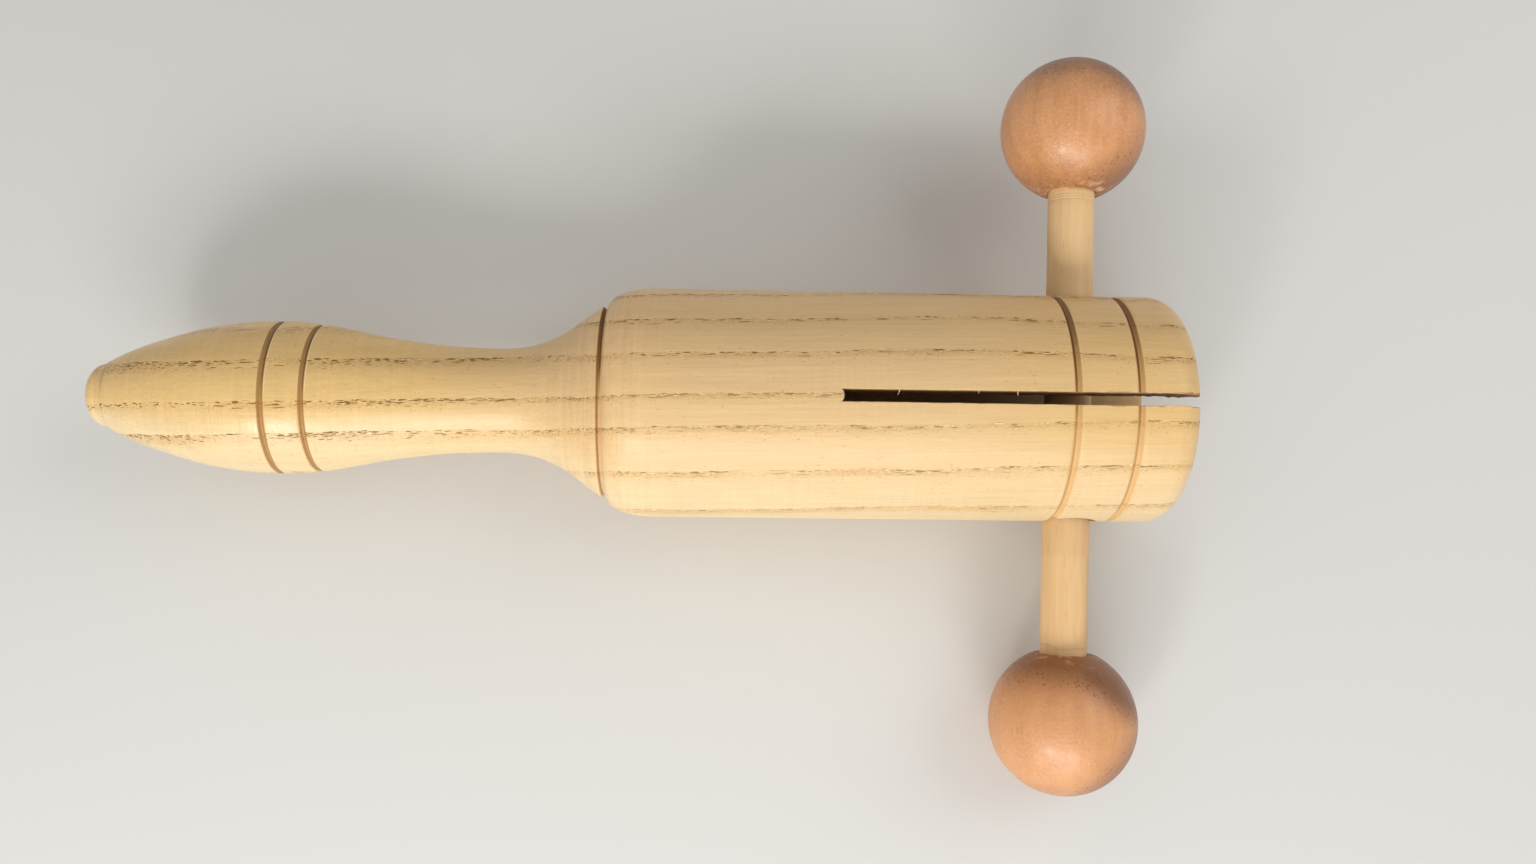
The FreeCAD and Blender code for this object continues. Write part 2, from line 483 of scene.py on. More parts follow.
def body_outline():
    """The turned body as the node has it, in two lists of (place, radius) pairs: from the nose round the
    outside to the mouth's edge, and from there along the chamber's wall to the middle of its floor."""
    points = node_points("turned_body")
    places = points[:, 0].round(3)
    reaches = np.hypot(points[:, 1], points[:, 2])
    mouth = places.max()
    mouth_radius = reaches[places == mouth].min()
    inner = (places > 0) & (reaches <= mouth_radius + 0.001)
    outside = [(places.min(), 0.0)]
    for place in np.unique(places[~inner]):
        outside.append((place, reaches[~inner & (places == place)].max()))
    chamber = sorted(set(zip(places[inner], reaches[inner].round(3))), reverse=True)
    chamber.append((places[inner].min(), 0.0))
    outside = without_small_steps(np.array(outside), outline_tolerance)
    chamber = without_small_steps(np.array(chamber), outline_tolerance)
    return np.array(outside), np.array(chamber)


def new_object(name, points, faces, material):
    """A mesh object from points in millimetres."""
    mesh = bpy.data.meshes.new(name)
    mesh.from_pydata((np.asarray(points) * MM).tolist(), [], faces)
    mesh.materials.append(material)
    mesh.validate()
    piece = bpy.data.objects.new(name, mesh)
    bpy.context.scene.collection.objects.link(piece)
    return piece


def smooth(piece):
    """Shades a piece smoothly, but for edges that turn sharply."""
    piece.data.shade_smooth()
    piece.data.set_sharp_from_angle(angle=math.radians(sharp_from_degrees))


def round_angles(columns):
    """Even angles once round, one for each column."""
    return np.arange(columns) * (2 * math.pi / columns)


def tube_faces(count, columns):
    """Faces that join each ring of columns points to the next, for count points in all."""
    faces = []
    for base in range(0, count - columns, columns):
        for column in range(columns):
            after = (column + 1) % columns
            faces.append((base + column, base + after, base + columns + after, base + columns + column))
    return faces


def lathe(outline, columns):
    """Points and faces of an outline turned about the X axis. The outline starts and ends on it."""
    angles = round_angles(columns)
    places, radii = outline[1:-1, 0], outline[1:-1, 1]
    rings = np.stack((
        np.repeat(places, columns),
        np.outer(radii, np.cos(angles)).ravel(),
        np.outer(radii, np.sin(angles)).ravel(),
    ), axis=1)
    points = np.vstack((rings, (outline[0, 0], 0, 0), (outline[-1, 0], 0, 0)))
    start, end = len(rings), len(rings) + 1
    last = len(rings) - columns
    faces = tube_faces(len(rings), columns)
    for column in range(columns):
        after = (column + 1) % columns
        faces.append((start, after, column))
        faces.append((end, last + column, last + after))
    return points, faces


def block(counts, place_at):
    """Points and faces of a box divided into counts cells each way, and bent: place_at gives the place
    of each corner from its three indices."""
    index = {}
    points = []
    faces = []

    def corner(*indices):
        if indices not in index:
            index[indices] = len(points)
            points.append(place_at(*indices))
        return index[indices]

    for across in range(3):
        first, second = (across + 1) % 3, (across + 2) % 3
        for level in (0, counts[across]):
            for i in range(counts[first]):
                for j in range(counts[second]):
                    loop = []
                    for a, b in ((i, j), (i + 1, j), (i + 1, j + 1), (i, j + 1)):
                        indices = [0, 0, 0]
                        indices[across], indices[first], indices[second] = level, a, b
                        loop.append(corner(*indices))
                    faces.append(loop if level else loop[::-1])
    return np.array(points), faces


def cut(piece, cutter):
    """Takes the cutter out of the piece. The faces it leaves keep the cutter's material."""
    modifier = piece.modifiers.new("cut", "BOOLEAN")
    modifier.operation = "DIFFERENCE"
    modifier.solver = "EXACT"
    modifier.material_mode = "TRANSFER"
    modifier.object = cutter
    whole = piece.evaluated_get(bpy.context.evaluated_depsgraph_get())
    mesh = bpy.data.meshes.new_from_object(whole)
    piece.modifiers.clear()
    piece.data = mesh
    bpy.data.objects.remove(cutter)


def ragged(x, seed, reach, pace):
    """Smooth seeded noise along x, from minus reach to plus reach."""
    return reach * noise.noise(Vector((x * pace, seed * seed_spread[0], seed * seed_spread[1])))


def arris_worn(x, edge):
    """How far the saw cut's edge of that number is worn and chipped away at x."""
    seed = arris_seed + edge
    here = Vector((x * arris_chip_pace, seed * arris_chip_spread, arris_chip_level))
    chip = max(0.0, noise.noise(here) - arris_chip_from)
    return arris_wear + ragged(x, seed, *arris_waver) + arris_chip * chip


def wall_torn(x, edge):
    """How ragged the wall by the edge of that number is at x, most of all near the mouth."""
    nearness = min(1.0, max(torn_least, (x - torn_from) / torn_over))
    tears = ragged(x, torn_seed + edge, *torn_waver) + ragged(x, torn_fine_seed + edge, *torn_fine_waver)
    return nearness * tears


def kerf_cutter(outside, wall_radius, material, slot):
    """The saw's cut, from its closed end out past the mouth, with worn edges that follow the surface."""
    start, half = slot["start"], slot["half"]
    end = outside[-1, 0] + clear_of_part
    wall = outside[:, 1].max() - wall_radius
    columns = math.ceil((end - start) / kerf_step)

    # Across the cut, and from each surface inwards: how deep, and how much of the wear shows there
    across = (-1.0, -0.5, 0.0, 0.5, 1.0)
    below_surface = (-clear_of_part, 0.0, 0.07, 0.18, 0.45, wall - 0.9, wall + 0.2)
    wear_share = (1.0 + clear_of_part / arris_wear, 1.0, 0.4, 0.1, 0.0, 0.0, 0.0)
    tear_share = (0.5, 0.5, 0.45, 0.35, 0.2, 0.1, 1.0)
    layers = 2 * len(below_surface) - 1

    def place_at(i, j, k):
        x = start + i * (end - start) / columns
        up_sign = -1 if k < len(below_surface) else 1
        k_in = min(k, layers - k)
        surface = math.sqrt(np.interp(x, *outside.T) ** 2 - half**2)
        up = up_sign * (surface - below_surface[k_in])
        share = across[j]
        widening = 0.0
        if share:
            side_sign = 1 if share > 0 else -1
            edge = 2 * side_sign + up_sign
            widening = wear_share[k_in] * arris_worn(x, edge)
            widening += tear_share[k_in] * wall_torn(x, edge)
            widening += ragged(x + up, kerf_seed + side_sign, *kerf_waver)
        if i == 0:
            worn = slot_end_wear[min(k_in, len(slot_end_wear) - 1)]
            x += slot_end_bulge * (1 - slot_end_curve * share**2) - worn
        return (x, *(share * (half + widening) * slot["side"] + up * slot["up"])[1:])

    points, faces = block((columns, len(across) - 1, layers), place_at)
    return new_object("kerf_cutter", points, faces, material)


def hole_cutter(head_radius, material, hole):
    """Both rod holes in one, their rims worn where they meet the round of the head."""
    angles = round_angles(hole_columns)
    below_surface = (-clear_of_part, 0.0, 0.08, 0.25)
    widening = (arris_wear + rim_flare_share * clear_of_part, arris_wear, rim_wear_share * arris_wear, 0.0)
    rings = []
    for sign in (-1, 1):
        pairs = list(zip(below_surface, widening))
        for below, extra in pairs if sign < 0 else reversed(pairs):
            radius = hole["radius"] + extra
            offset_x, offset_up = radius * np.cos(angles), radius * np.sin(angles)
            surface = head_radius if below < 0 else np.sqrt(head_radius**2 - offset_up**2)
            out = np.broadcast_to(sign * (surface - below), hole_columns)
            ring = np.outer(out, hole["side"]) + np.outer(offset_up, hole["up"])
            ring[:, 0] = hole["x"] + offset_x
            rings.append(ring)
    points = np.vstack(rings)
    faces = [(a, d, c, b) for a, b, c, d in tube_faces(len(points), hole_columns)]
    faces.append(list(range(hole_columns)))
    faces.append(list(range(len(points) - hole_columns, len(points)))[::-1])
    return new_object("hole_cutter", points, faces, material)


def across_rings(s, place, x):
    """How far below a growth line a point lies, in millimetres."""
    from_pith = s.vector("LENGTH", s.vector("SUBTRACT", s.stretch(place, across_axis), (0.0, *pith_place)))
    across = s.plus(s.minus(ring_zero, from_pith), s.times(x, -grain_slope))
    spread = s.times(s.step(x, 40.0, 85.0, 0.0, mouth_spread), s.step(across, -9.0, 6.0))
    across = s.plus(across, spread)
    for reach, pace in ring_waves:
        across = s.plus(across, s.swing(place, (0.4 * pace, pace, pace), reach))
    span = growth_lines[0] - growth_lines[-1]
    share = s.times(s.minus(growth_lines[0], across), 1 / span)
    curve = s.add("ShaderNodeFloatCurve", {1: share})
    points = curve.mapping.curves[0].points
    while len(points) < len(growth_lines):
        points.new(0.5, 0.5)
    for index, line in enumerate(growth_lines):
        points[index].location = ((growth_lines[0] - line) / span, index / (len(growth_lines) - 1))
        points[index].handle_type = "VECTOR"
    curve.mapping.update()
    phase = s.times(curve.outputs[0], len(growth_lines) - 1)
    return s.times(s.math("FRACT", phase), ring_width)


def as_cut(s, wood, fibre, cutting, radius, x, marks):
    """wood bare as the tools left it, browner with painted shade where the saw went through the wall, and
    darker further in with painted shade.
    """
    wall, head = marks["wall"], marks["head"]
    wood = s.mix(0.55, wood, s.mix(fibre, s.tones["bare"], s.tones["bare_fibre"]))
    # Painted shade: browner across the cut faces, short of the outer surface
    cut_face_shade = s.times(s.step(radius, wall, wall + 0.4), s.fade(radius, head - 0.5, head - 0.15))
    wood = s.paint(wood, "cut_face_shade", s.times(cut_face_shade, s.plus(s.times(cutting, 0.4), 0.5)))
    wood = s.vary(wood, cutting, 0.2, 0.9)
    # Painted shade: darker deep in the chamber, less towards the mouth
    inside = s.step(radius, wall, wall + 1.0, 1.0, 0.25)
    chamber_shade = s.times(s.step(x, 40.0, 66.0, 0.28, 0.55), s.step(x, 74.0, 88.0, 1.0, 0.35))
    return s.shade(wood, s.minus(1.0, s.times(inside, chamber_shade)))


def burnished_and_shaded(s, wood, x, rise, marks):
    """wood with its turned grooves burnished brown and painted with shade, darkest along one wall and on
    the raised side, and how much of that shows."""
    top = s.step(rise, 2.0, 14.0)
    burn_and_shade = 0.0
    for kind, burns_and_shade in groove_burns_and_shade.items():
        low, middle, high, line_colour = (colour(*burnt_and_shaded) for burnt_and_shaded in burns_and_shade["colours"])
        upper = s.step(rise, *burns_and_shade["climb"])
        # Burnish brown, with painted shade making it darker high on the raised side
        burnt_and_shaded = s.mix(top, s.mix(upper, low, middle), high)
        for centre, half in marks[kind]:
            offset = s.plus(x, -centre)
            inside = s.fade(s.math("ABSOLUTE", offset), half * 0.8, half * 1.05)
            share = s.times(inside, s.step(upper, 0.0, 1.0, burns_and_shade["least"], 0.92))
            wood = s.mix(share, wood, burnt_and_shaded)
            burn_and_shade = s.math("MAXIMUM", burn_and_shade, share)
            # Painted shade: a dark line along one wall of each groove
            left, right = (s.near(offset, wall * half, half * 0.15, half * 0.55) for wall in (-0.4, 0.4))
            foot = s.mix(upper, left, right if burns_and_shade["dark_side"] > 0 else left)
            wood = s.mix(s.times(foot, s.step(upper, 0.0, 1.0, *burns_and_shade["line"])), wood, line_colour)
            # Painted highlight: a pale line on the lip beside each groove, strongest on the raised side
            lip = s.near(offset, half + 0.1, 0.04, 0.16, burns_and_shade["lip"])
            wood = s.paint(wood, "lip", s.times(lip, s.step(upper, 0.0, 0.6, 0.2, 1.0)))
    # Painted shade: a dark line just past the nose ridge, darkest on the raised side
    ridge = s.near(x, marks["ridge"], 0.1, 0.6)
    return s.paint(wood, "ridge", s.times(ridge, s.step(rise, -3.0, 5.0, 0.08, 0.6))), burn_and_shade


def ash(name, marks, bare):
    """Pale ring-porous wood, under a satin lacquer or bare as the tools left it."""
    s = Shader(name, ash_tones)
    place = s.place()
    x, y, z = s.split(place)
    radius = s.vector("LENGTH", s.stretch(place, across_axis))
    flank = s.math("DIVIDE", y, radius)
    on_handle = s.step(x, -12.0, -45.0)
    below_line = s.times(across_rings(s, place, x), s.plus(s.times(on_handle, -0.5), 1.5))
    early = s.fade(below_line, 0.0, 3.2)
    first_row = s.fade(below_line, 0.25, 0.75)
    rows = s.fade(below_line, 0.5, 1.7)
    band = s.fade(below_line, 0.9, 1.9)
    patches = s.step(s.grain(place, *ash_noise["patches"]), 0.38, 0.56)
    strength = s.step(s.grain(place, *ash_noise["strength"]), 0.3, 0.62, 0.35, 1.0)

    # Pores run along the grain, crowded just below each growth line, each with a painted highlight on its
    # rim
    wobble = s.swing(place, (0.3, 0.8, 0.8), 0.1)
    along = s.join(x, s.plus(s.plus(y, s.times(x, -grain_slope)), wobble), s.plus(z, wobble))
    crowd = s.times(s.times(patches, strength), s.step(flank, -0.98, -0.8, 0.3, 1.0))
    crowd = s.times(crowd, s.step(s.times(flank, on_handle), 0.6, 0.85, 1.0, 0.2))
    pit_share = s.times(first_row, crowd)
    pits = s.spots(along, pit_share, *ash_spots["pits"])
    # Painted highlight: a copy of the pits shifted towards the lamps shows as a pale rim where a pit's
    # wall would catch the light
    beside = s.vector("ADD", along, (0.0, 0.17, 0.0))
    pit_highlights = s.minus(s.spots(beside, pit_share, *ash_spots["pits"]), pits, clamp=True)
    dash_share = s.times(rows, s.plus(s.times(crowd, 0.9), 0.2))
    dashes = s.spots(along, dash_share, *ash_spots["dashes"])
    speck_share = s.plus(s.times(early, s.plus(s.times(strength, 0.5), 0.1)), 0.03)
    speck_share = s.plus(speck_share, s.times(band, s.times(strength, 0.4)))
    specks = s.spots(along, speck_share, *ash_spots["specks"])
    elsewhere = s.vector("ADD", along, (3.1, 4.7, 1.9))
    pale = s.spots(elsewhere, speck_share, *ash_spots["pale"])

    # Fibres, growth layers and lathe marks
    fibre = s.grain(along, *ash_noise["fibre"])
    layers = s.cloud(s.join(s.times(x, 0.03), s.times(below_line, 2.4), s.times(z, 0.1)), 2.0)
    streak = s.grain(along, *ash_noise["streak"])
    drift = s.grain(place, *ash_noise["drift"])
    turning = s.step(s.grain(place, *ash_noise["turning"]), 0.3, 0.7)
    near_neck = s.near(x, marks["neck"], 2.0, 13.0)
    most_turned = s.math("MAXIMUM", near_neck, s.times(on_handle, s.step(drift, 0.35, 0.6, 0.4, 0.8)))
    turned = s.times(turning, s.plus(s.times(most_turned, 0.7), s.times(s.step(drift, 0.4, 0.7), 0.3)))

    # Colour from the wood's ground to the pits in it
    wood = s.mix(s.step(drift, 0.3, 0.7), s.tones["rings"], s.tones["other_rings"])
    wood = s.paint(wood, "neck", s.times(near_neck, 0.35))
    wood = s.paint(wood, "handle", s.times(on_handle, 0.8))
    by_mouth, by_cut = s.step(x, 42.0, 78.0, 0.0, 0.6), s.step(s.math("ABSOLUTE", y), 5.0, 15.0, 1.0, 0.1)
    wood = s.paint(wood, "mouth", s.times(by_mouth, by_cut))
    # Painted sheen: the side tone makes the flanks that face the lamps paler, on the handle and low on the
    # head
    handle_sheen = s.times(on_handle, s.step(flank, -0.3, -0.8, 0.0, 0.8))
    wood = s.paint(wood, "side", s.math("MAXIMUM", handle_sheen, s.step(flank, -0.6, -1.0, 0.0, 0.7)))
    wood = s.paint(wood, "early", s.times(early, s.times(strength, 0.34)))
    wood = s.paint(wood, "band", s.times(band, s.times(strength, 0.3)))
    for pattern, reach, least in ((fibre, 0.24, 0.88), (streak, 0.12, 0.94),
                                  (layers, 0.14, 0.93), (turned, 0.15, 0.955)):
        wood = s.vary(wood, pattern, reach, least)
    wood = s.paint(wood, "pale", s.times(pale, s.times(early, 0.45)))
    # Painted highlight on the rims of the pits
    wood = s.paint(wood, "pit_highlights", s.times(pit_highlights, 0.7))
    wood = s.paint(wood, "specks", s.times(specks, 0.42))
    # Painted shade: pits and dashes darker on the head's raised side, which faces away from the lamps
    raised_side_pore_shade = s.times(s.step(flank, -0.1, 0.4, 0.0, 0.36), s.minus(1.0, on_handle))
    dash_depth = s.plus(s.plus(s.times(on_handle, 0.5), 0.42), raised_side_pore_shade)
    pit_depth = s.plus(s.plus(s.times(on_handle, 0.36), 0.62), raised_side_pore_shade)
    wood = s.paint(wood, "dashes", s.times(dashes, dash_depth))
    wood = s.paint(wood, "pits", s.times(pits, pit_depth))

    gloss = s.times(s.grain(place, *ash_noise["gloss"]), 0.16)
    height = s.plus(s.times(pits, -0.08), s.times(dashes, -0.04))
    height = s.plus(height, s.times(specks, -0.02))
    height = s.plus(height, s.times(fibre, 0.03 if bare else 0.012))
    if bare:
        cutting = s.grain(place, *ash_noise["cutting"])
        wood = as_cut(s, wood, fibre, cutting, radius, x, marks)
        height = s.plus(height, s.times(cutting, 0.05))
        s.set(Base_Color=wood, Roughness=s.plus(gloss, 0.68), Normal=s.bump(height), IOR=1.45)
        return s.material

    rise = s.plus(y, s.swing(place, even(0.3), 3.0))
    wood, burn_and_shade = burnished_and_shaded(s, wood, x, rise, marks)
    satin = s.step(x, -44.0, -66.0, 0.37, 0.22)
    gloss = s.plus(s.plus(gloss, satin), s.times(s.plus(pits, burn_and_shade), 0.2))
    height = s.plus(height, s.times(turned, 0.03))
    height = s.plus(height, s.times(s.grain(place, *ash_noise["uneven"]), 0.05))
    s.set(Base_Color=wood, Roughness=gloss, Normal=s.bump(height))
    s.set(Coat_Weight=0.16, Coat_Roughness=0.3, IOR=1.48)
    return s.material


def sliver(place, length, lean, thickness, surface, slot):
    """One torn fibre that hangs from the raised jaw's edge into the saw cut."""
    ahead = np.array((1, 0, 0))
    root = (place * ahead + (slot["half"] + sliver_root_depth) * slot["side"]
            + (surface - sliver_below_surface) * slot["up"])
    points = []
    for section in range(sliver_sections):
        t = section / (sliver_sections - 1)
        middle = root - (length + sliver_past_wall) * t * slot["side"]
        middle = middle + lean * t**sliver_lean_power * ahead
        middle = middle + (sliver_rise * t - sliver_droop * t**2) * slot["up"]
        reach = thickness / 2 * (1 - sliver_taper * t**2)
        for angle in round_angles(sliver_sides):
            wide, high = sliver_widths[0] * math.cos(angle), sliver_widths[1] * math.sin(angle)
            points.append(middle + reach * (wide * ahead + high * slot["up"]))
    faces = tube_faces(len(points), sliver_sides)
    faces.append(list(range(sliver_sides))[::-1])
    faces.append(list(range(len(points) - sliver_sides, len(points))))
    return np.array(points), faces


def with_slivers(piece, surface, slot, material_index):
    """Adds the torn fibres to the body's mesh."""
    mesh = bmesh.new()
    mesh.from_mesh(piece.data)
    for sizes in slivers:
        points, faces = sliver(*sizes, surface, slot)
        corners = [mesh.verts.new(point * MM) for point in points]
        for loop in faces:
            face = mesh.faces.new([corners[i] for i in loop])
            face.material_index = material_index
    mesh.to_mesh(piece.data)
    mesh.free()


def turned_body(outside, chamber, skin_material, bare_material, slot, hole):
    """The body: a turned skin with its chamber, sawn and drilled."""
    head_radius = outside[:, 1].max()
    skin = evenly_stepped(softened(np.vstack((outside, chamber)), corner_softening), skin_step)
    skin[:, 1] = np.maximum(skin[:, 1] - inside_box, 0)
    points, faces = lathe(skin, skin_columns)
    piece = new_object("turned_body_wood", points, faces, skin_material)
    piece.data.materials.append(bare_material)
    mouth = skin[:, 0].argmax()
    bare = []
    for face in piece.data.polygons:
        reach = math.hypot(face.center.y, face.center.z) / MM
        bare.append(face.index // skin_columns > mouth and reach < chamber[:, 1].max())
    piece.data.polygons.foreach_set("material_index", np.array(bare, dtype=np.int32))
    cut(piece, kerf_cutter(outside, chamber[1][1], bare_material, slot))
    cut(piece, hole_cutter(head_radius, bare_material, hole))
    with_slivers(piece, head_radius, slot, 1)
    smooth(piece)
    return piece


def along_rod(points, line):
    """Points laid out along +X, moved onto the rod's line."""
    turn = Vector((1, 0, 0)).rotation_difference(line["axis"]).to_matrix()
    return points @ np.array(turn).T + line["point"]


def round_the_rod(node, line):
    """The node's vertices as places along the rod's line and distances from it."""
    points = node_points(node) - line["point"]
    places = points @ np.array(line["axis"])
    return places, np.linalg.norm(points - np.outer(places, line["axis"]), axis=1)


def ball_outline(places, reaches):
    """A ball's centre, radius and outline along its own line: socket, facet, worn rim and sphere."""
    pole, facet, radius = places.max(), places.min(), reaches.max()
    centre = pole - radius
    facet_radius = reaches[places < facet + same_place].max()
    socket_radius = reaches[places < facet + same_place].min()
    in_socket = (reaches < socket_radius + same_place) & (places < centre + radius / 2)
    socket_floor = places[in_socket].max()
    rim_angle = math.asin(facet_radius / radius)
    count = math.ceil((math.pi - rim_angle) * radius / ball_step)
    arc = np.linspace(rim_angle, math.pi, count)
    kept = radius - inside_box
    sphere = np.stack((centre - kept * np.cos(arc), kept * np.sin(arc)), axis=1)
    outline = np.vstack((
        (socket_floor, 0.0),
        (socket_floor, socket_radius),
        (facet, socket_radius),
        (facet, facet_radius),
        sphere[1:-1],
        (centre + kept, 0.0),
    ))
    return centre, radius, evenly_stepped(softened(outline, socket_rim_wear), ball_step)


def set_values(piece, name, values):
    """Gives each vertex of the piece its own value, for the shader."""
    piece.data.attributes.new(name, "FLOAT", "POINT").data.foreach_set("value", values)


def ball(name, node, line, material, seed, stains_and_shade):
    """A ball on the rod's line, with its lacquer chipped round the socket's rim."""
    places, reaches = round_the_rod(node, line)
    outward = 1 if places.mean() > 0 else -1
    centre, radius, outline = ball_outline(places * outward, reaches)
    points, faces = lathe(outline, ball_columns)

    # Chips, deepest next to the facet
    from_centre = points - (centre, 0, 0)
    distance = np.linalg.norm(from_centre, axis=1)
    angle = np.degrees(np.arccos(np.clip(-from_centre[:, 0] / distance, -1, 1)))
    near, far = chip_band_degrees
    band = np.clip((far - angle) / (far - near), 0, 1) * (distance > radius * on_sphere_share)
    bare = np.zeros(len(points))
    for i in np.flatnonzero(band > 0):
        here = Vector(points[i] * chip_pace + seed * chip_seed_step)
        rough = noise.noise(here) + 0.5 * noise.noise(here * chip_fine_pace)
        bare[i] = max(0.0, rough - chip_from + chip_from * band[i]) * band[i]
    bare = np.minimum(1.0, chip_contrast * bare)
    points = points - from_centre / np.maximum(distance, 1)[:, None] * (chip_depth * bare)[:, None]
    if outward < 0:
        points[:, 0] *= -1
        faces = [loop[::-1] for loop in faces]
    piece = new_object(name, along_rod(points, line), faces, material)
    set_values(piece, "bare", bare)

    # Values for the shader: end-grain stain and painted shade towards the socket and the outer end,
    # painted shade on the side towards the head's mouth
    socket_stain_and_shade, outer_stain_and_shade, side_shade = stains_and_shade
    stain = np.where(from_centre[:, 0] < 0, -socket_stain_and_shade, outer_stain_and_shade) * from_centre[:, 0]
    aside = along_rod(from_centre, {**line, "point": np.zeros(3)})[:, 0]
    set_values(piece, "end_grain_and_shade", (stain + side_shade * np.maximum(0, aside)) / radius)
    smooth(piece)
    return piece


def rod(name, node, line, material):
    """The dowel, with chamfered ends and faint turned rings beside the raised ball."""
    places, reaches = round_the_rod(node, line)
    low, high, radius = places.min(), places.max(), reaches.max()
    end_radius = reaches[places < low + same_place].max()
    chamfer = radius - end_radius
    outline = [(low, 0.0), (low, end_radius), (low + chamfer, radius)]
    for back in ring_marks:
        middle = high - back
        outline += [(middle - ring_mark_half, radius), (middle, radius - ring_mark_depth),
                    (middle + ring_mark_half, radius)]
    outline += [(high - chamfer, radius), (high, end_radius), (high, 0.0)]
    points, faces = lathe(evenly_stepped(np.array(outline), rod_step), rod_columns)
    piece = new_object(name, along_rod(points, line), faces, material)
    smooth(piece)
    return piece


def rod_lines(s, axis):
    """Places in a shader of the beater: in the part's frame, along the rod, square to it, and with the
    rod's direction squeezed so that noise runs long along the grain."""
    place = s.place()
    along = s.vector("DOT_PRODUCT", place, tuple(axis))
    about = s.vector("SUBTRACT", place, s.scaled(tuple(axis), along))
    squeezed = s.scaled(tuple(axis), s.times(along, 0.06))
    return place, along, about, s.vector("ADD", about, squeezed)


def dowel_material(line):
    """Pale straight-grained dowel, stained where it enters the resting ball."""
    s = Shader("dowel_pale", dowel_tones)
    place, along, about, grain = rod_lines(s, line["axis"])
    fibre = s.grain(grain, *dowel_noise["fibre"])
    streak = s.grain(grain, *dowel_noise["streak"])
    pores = s.spots(grain, 0.16, *dowel_spots["pores"])
    wood = s.mix(s.step(streak, 0.3, 0.7), s.tones["streak"], s.tones["other_streak"])
    wood = s.vary(wood, fibre, 0.16, 0.92)
    wood = s.paint(wood, "pores", s.times(pores, 0.3))

    places, _ = round_the_rod("beater_ball_resting", line)
    entry = places.max() + float(line["point"] @ np.array(line["axis"]))
    beyond = s.plus(s.plus(along, -entry), s.swing(about, even(0.12), 1.8))
    wood = s.paint(wood, "stain", s.fade(beyond, 0.5, stain_reach, 0.12))
    wood = s.paint(wood, "stain_edge", s.near(beyond, 0.8 * stain_reach, 0.05, 0.3, 0.2))

    # Paler below the head as painted light, greyer along its side towards the mouth there as painted
    # shade, and browner from where it slides in above as a painted shadow of the head
    below_start, below_full = (entry + reach for reach in below_head_reach)
    below_head = s.step(along, below_start, below_full)
    # Painted light: paler below the head
    painted_light_below_head = s.times(below_head, s.step(along, below_start, entry + 2.0, 0.1, 0.2))
    wood = s.shade(wood, s.plus(painted_light_below_head, 1.0))
    aside, _, _ = s.split(about)
    # Painted shade: greyer along the side towards the mouth, below the head
    shaded_side = s.step(aside, *(line["point"][0] + reach for reach in shaded_side_from_axis))
    wood = s.paint(wood, "shaded_side", s.times(s.times(shaded_side, below_head), 0.62))
    # Painted shadow of the head: browner from where the rod slides in above, on downwards
    uneven = s.plus(along, s.swing(about, even(0.15), 3.0))
    wood = s.paint(wood, "head_shadow", s.fade(uneven, *head_shadow_reach, 0.34))

    gloss = s.plus(s.times(s.grain(place, *dowel_noise["gloss"]), 0.16), 0.4)
    height = s.plus(s.times(fibre, 0.03), s.times(pores, -0.03))
    s.set(Base_Color=wood, Roughness=gloss, Normal=s.bump(height), Coat_Weight=0.08, Coat_Roughness=0.35)
    return s.material


